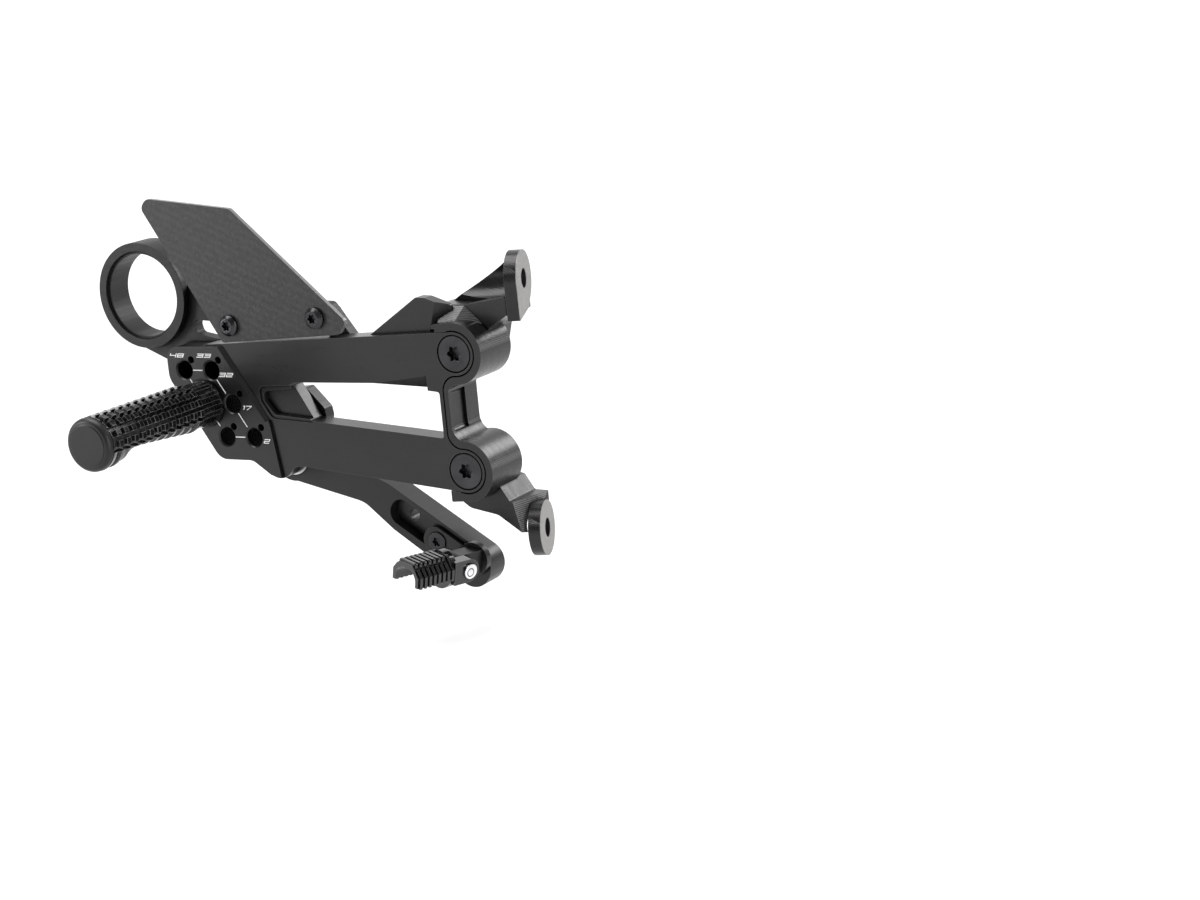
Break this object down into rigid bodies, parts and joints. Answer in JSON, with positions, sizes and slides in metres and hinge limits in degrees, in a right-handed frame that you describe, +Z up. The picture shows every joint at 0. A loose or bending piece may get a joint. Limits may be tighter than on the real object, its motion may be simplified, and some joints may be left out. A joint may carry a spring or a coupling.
{
  "type": "motorcycle rear set footrest",
  "caption": "Right-hand rear set: ribbed footrest on a stepped adjustable plate, brake pedal with folding toe piece, heel guard, silencer ring and frame bracket.",
  "frame": {"origin": "centre of the upper frame bolt bore in the plane of its bare pad", "axes": "+X to the front of the motorcycle, +Y inboard, +Z up"},
  "size_m": [0.2187, 0.1168, 0.1731],
  "materials": {
    "anodised_bracket": "satin black anodised",
    "anodised_arm": "satin black anodised",
    "anodised_hanger": "satin black anodised",
    "anodised_pedal": "satin black anodised",
    "anodised_small": "satin black anodised",
    "black_steel": "blackened, turned face",
    "dark_steel": "dark zinc",
    "steel": "zinc plated",
    "bright_steel": "bright turned",
    "bronze": "sintered bronze",
    "peg_black": "gloss black anodised",
    "toe_black": "gloss black anodised",
    "cap_grey": "matt dark grey",
    "carbon_weave": "satin carbon fibre laminate"
  },
  "bodies": {
    "rear_set": {"frame_bracket": "anodised_bracket", "hanger_arm": "anodised_arm", "arm_bolt_upper": "black_steel", "arm_bolt_lower": "black_steel", "peg_body": "peg_black", "peg_end_cap": "cap_grey", "peg_bolt": "steel", "peg_dowel": "steel", "heel_guard": "carbon_weave", "guard_bolt_rear": "dark_steel", "guard_bolt_front": "dark_steel", "guard_spacer_rear": "anodised_small", "guard_spacer_front": "anodised_small", "silencer_hanger": "anodised_hanger", "hanger_bolt_rear": "dark_steel", "hanger_bolt_front": "dark_steel", "pedal_thrust_washer": "steel", "pedal_pivot_bolt": "steel"},
    "pedal": {"brake_pedal": "anodised_pedal", "pedal_bush": "bronze", "toe_slider": "anodised_small", "toe_slider_bolt": "dark_steel", "toe_pin": "bright_steel"},
    "toe": {"toe_peg": "toe_black"}
  },
  "joints": [
    {"name": "pedal_pivot", "type": "hinge", "parent": "rear_set", "child": "pedal", "pos_m": [-0.121, -0.0067, -0.078], "axis": [0, 1, 0], "range_deg": [0, 10]},
    {"name": "toe_fold", "type": "hinge", "parent": "pedal", "child": "toe", "pos_m": [-0.0317, -0.0262, -0.1192], "axis": [-0.9418, 0.2924, 0.1661], "range_deg": [0, 72]}
  ]
}
